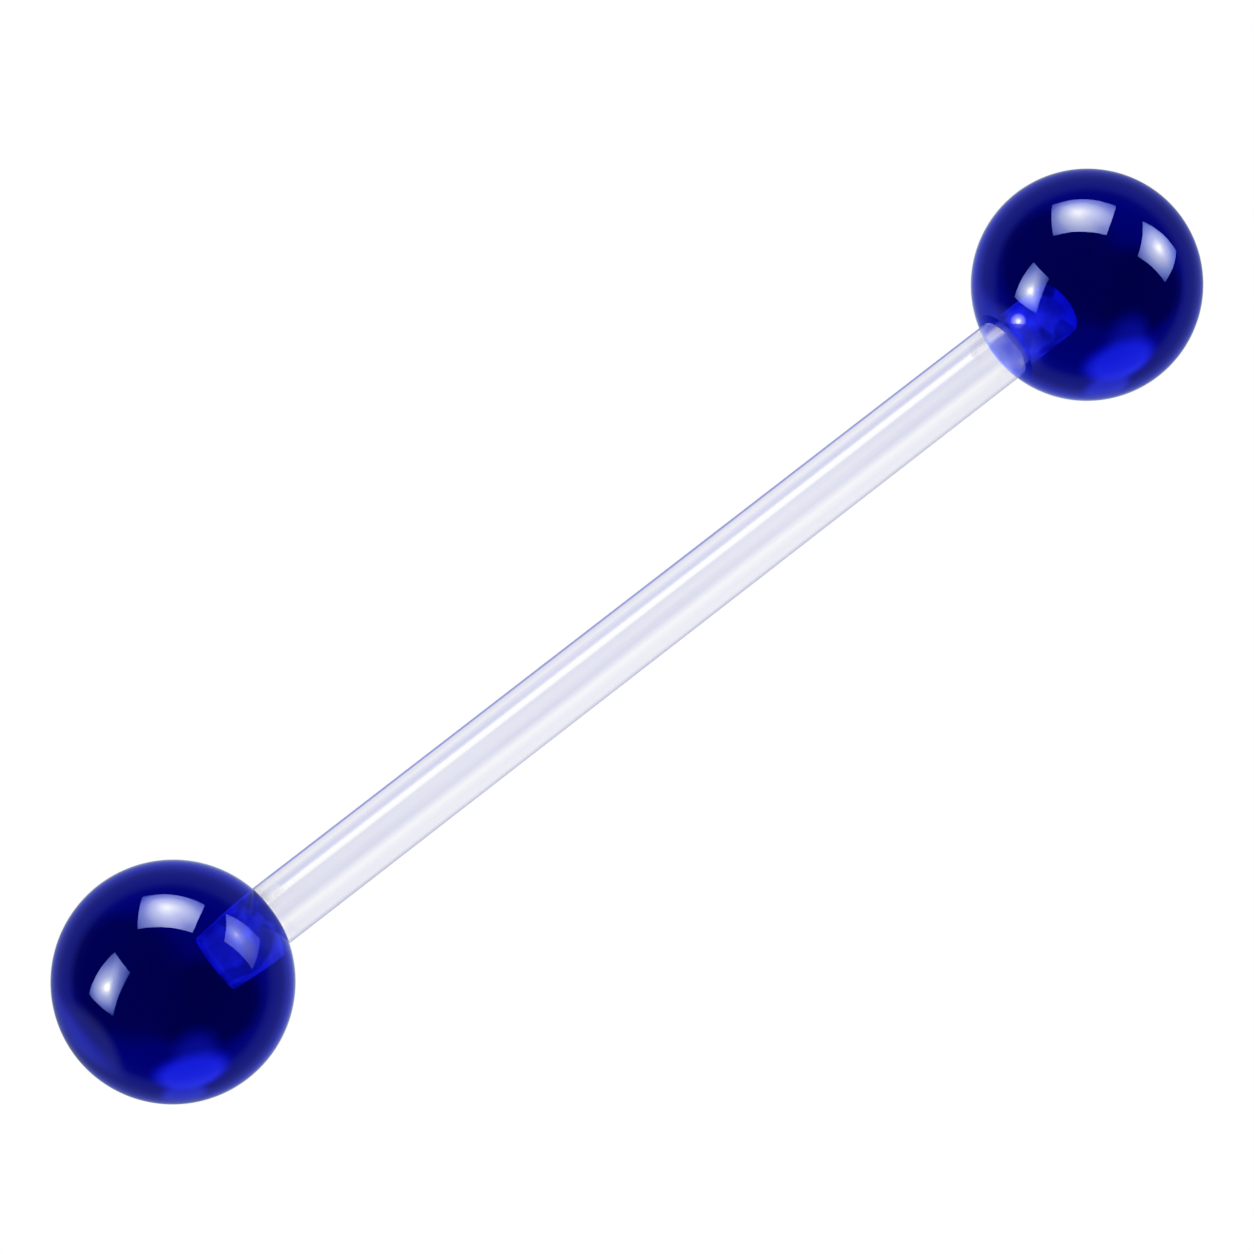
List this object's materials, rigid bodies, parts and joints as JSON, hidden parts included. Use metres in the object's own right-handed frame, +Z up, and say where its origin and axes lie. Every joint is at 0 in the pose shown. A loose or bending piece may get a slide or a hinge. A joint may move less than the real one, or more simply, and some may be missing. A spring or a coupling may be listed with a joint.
{
  "type": "straight barbell piercing retainer",
  "caption": "Clear straight piercing bar with a glossy blue see-through ball on a plain peg at each end.",
  "frame": {"origin": "on the surface it lies on, directly under the middle of the shaft", "axes": "+X along the shaft towards the right ball, +Z up; the bar lies level on its two balls"},
  "size_m": [0.0364, 0.0062, 0.006],
  "materials": {
    "clear_plastic": "clear flexible plastic, faintly lavender, glossy",
    "blue_acrylic": "see-through cobalt blue acrylic, polished"
  },
  "bodies": {
    "shaft": {"shaft": "clear_plastic"},
    "left_ball": {"left_ball": "blue_acrylic"},
    "right_ball": {"right_ball": "blue_acrylic"}
  },
  "joints": [
    {"name": "left_ball_off", "type": "slide", "parent": "shaft", "child": "left_ball", "axis": [-1, 0, 0], "range_m": [0, 0.004]},
    {"name": "right_ball_off", "type": "slide", "parent": "shaft", "child": "right_ball", "axis": [1, 0, 0], "range_m": [0, 0.004]}
  ]
}
